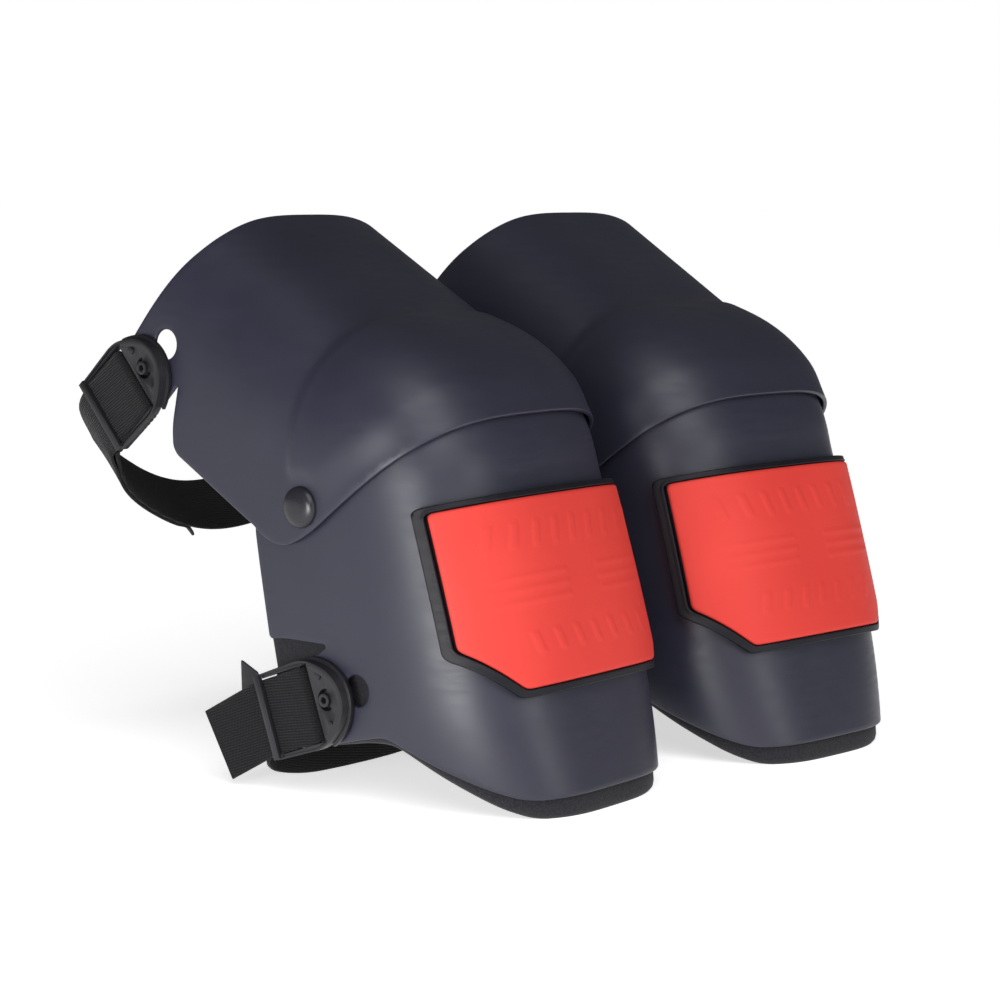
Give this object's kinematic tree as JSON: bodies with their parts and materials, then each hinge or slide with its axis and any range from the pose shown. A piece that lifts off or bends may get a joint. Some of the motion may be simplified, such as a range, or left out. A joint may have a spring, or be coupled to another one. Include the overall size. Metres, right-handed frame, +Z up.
{
  "type": "hinged knee pads",
  "caption": "Left and right hinged work knee pads: shin shells with a rubber kneeling insert and foam liner, riveted to thigh shells, with elastic leg straps and quick-release clips.",
  "frame": {"origin": "middle of the pair's footprint, on the floor that the pads stand on", "axes": "+X from the right pad to the left pad, along the knees; +Y from the kneeling face towards the back of the legs; +Z up"},
  "size_m": [0.3854, 0.3274, 0.2881],
  "materials": {
    "shell_plastic": "satin",
    "liner_foam": "matte",
    "insert_rubber": "matte",
    "frame_rubber": "matte",
    "rivet_plastic": "satin",
    "webbing": "matte",
    "clip_plastic": "satin",
    "tab_leather": "satin"
  },
  "bodies": {
    "right_shin": {"right_lower_shell": "shell_plastic", "right_foam_liner": "liner_foam", "right_insert_frame": "frame_rubber", "right_insert_panel": "insert_rubber", "right_outer_rivet": "rivet_plastic", "right_outer_rivet_cap": "rivet_plastic", "right_inner_rivet": "rivet_plastic", "right_inner_rivet_cap": "rivet_plastic", "right_lower_strap": "webbing", "right_lower_strap_tab": "tab_leather", "right_lower_anchor": "clip_plastic", "right_lower_anchor_rivet": "rivet_plastic"},
    "right_thigh": {"right_upper_shell": "shell_plastic", "right_upper_strap": "webbing", "right_upper_anchor": "clip_plastic", "right_upper_anchor_rivet": "rivet_plastic"},
    "right_upper_clip": {"right_upper_clip": "clip_plastic"},
    "right_lower_clip": {"right_lower_clip": "clip_plastic"},
    "left_shin": {"left_lower_shell": "shell_plastic", "left_foam_liner": "liner_foam", "left_insert_frame": "frame_rubber", "left_insert_panel": "insert_rubber", "left_outer_rivet": "rivet_plastic", "left_outer_rivet_cap": "rivet_plastic", "left_inner_rivet": "rivet_plastic", "left_inner_rivet_cap": "rivet_plastic", "left_lower_strap": "webbing", "left_lower_strap_tab": "tab_leather", "left_lower_anchor": "clip_plastic", "left_lower_anchor_rivet": "rivet_plastic"},
    "left_thigh": {"left_upper_shell": "shell_plastic", "left_upper_strap": "webbing", "left_upper_anchor": "clip_plastic", "left_upper_anchor_rivet": "rivet_plastic"},
    "left_upper_clip": {"left_upper_clip": "clip_plastic"},
    "left_lower_clip": {"left_lower_clip": "clip_plastic"}
  },
  "joints": [
    {"name": "right_knee_hinge", "type": "hinge", "parent": "right_shin", "child": "right_thigh", "pos_m": [-0.09981, -0.00254, 0.1455], "axis": [-1, 0, 0], "range_deg": [-15, 30]},
    {"name": "right_upper_clip_release", "type": "slide", "parent": "right_thigh", "child": "right_upper_clip", "axis": [0, -0.6468, 0.7627], "range_m": [0, 0.016], "deforming": ["right_upper_strap"]},
    {"name": "right_lower_clip_release", "type": "slide", "parent": "right_shin", "child": "right_lower_clip", "axis": [0, -0.9415, 0.3371], "range_m": [0, 0.016], "deforming": ["right_lower_strap"]},
    {"name": "left_knee_hinge", "type": "hinge", "parent": "left_shin", "child": "left_thigh", "pos_m": [0.08119, -0.02914, 0.1455], "axis": [-0.9919, 0.1271, 0], "range_deg": [-15, 30]},
    {"name": "left_upper_clip_release", "type": "slide", "parent": "left_thigh", "child": "left_upper_clip", "axis": [-0.0822, -0.6415, 0.7627], "range_m": [0, 0.016], "deforming": ["left_upper_strap"]},
    {"name": "left_lower_clip_release", "type": "slide", "parent": "left_shin", "child": "left_lower_clip", "axis": [-0.1196, -0.9338, 0.3371], "range_m": [0, 0.016], "deforming": ["left_lower_strap"]},
    {"name": "left_pad_place", "type": "slide", "parent": "right_shin", "child": "left_shin", "axis": [1, 0, 0], "range_m": [0, 0.15]}
  ]
}
